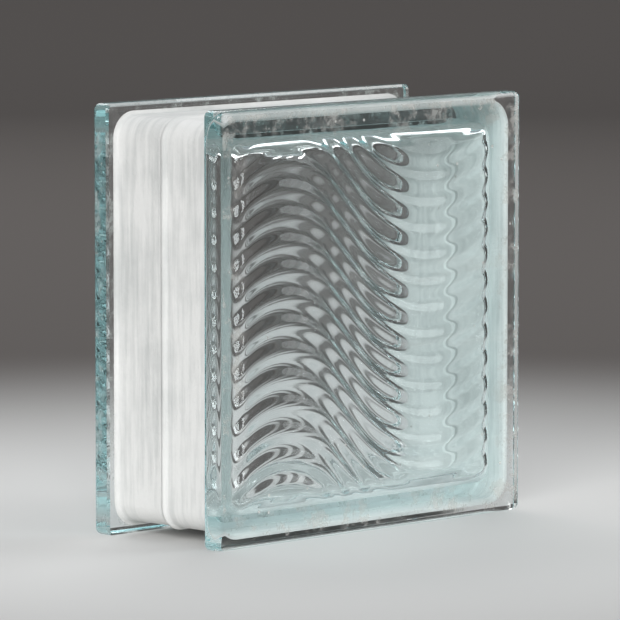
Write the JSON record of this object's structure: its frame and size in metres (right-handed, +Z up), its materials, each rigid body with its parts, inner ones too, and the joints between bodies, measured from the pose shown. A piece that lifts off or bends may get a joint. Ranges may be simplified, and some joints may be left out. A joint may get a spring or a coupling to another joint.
{
  "type": "glass block",
  "caption": "Square hollow glass block with rippled inner faces and a mortar channel round its four sides, for light-passing walls and partitions.",
  "frame": {"origin": "centre of the block's footprint, on the level surface that it stands on", "axes": "+X across the face, +Y through the depth from the front face to the back face, +Z up"},
  "size_m": [0.19, 0.08, 0.19],
  "materials": {
    "clear_glass": "clear soda-lime glass with a faint aqua tint, smooth outside, with pressed ripples inside"
  },
  "bodies": {
    "root": {"glass_block": "clear_glass"}
  },
  "joints": []
}
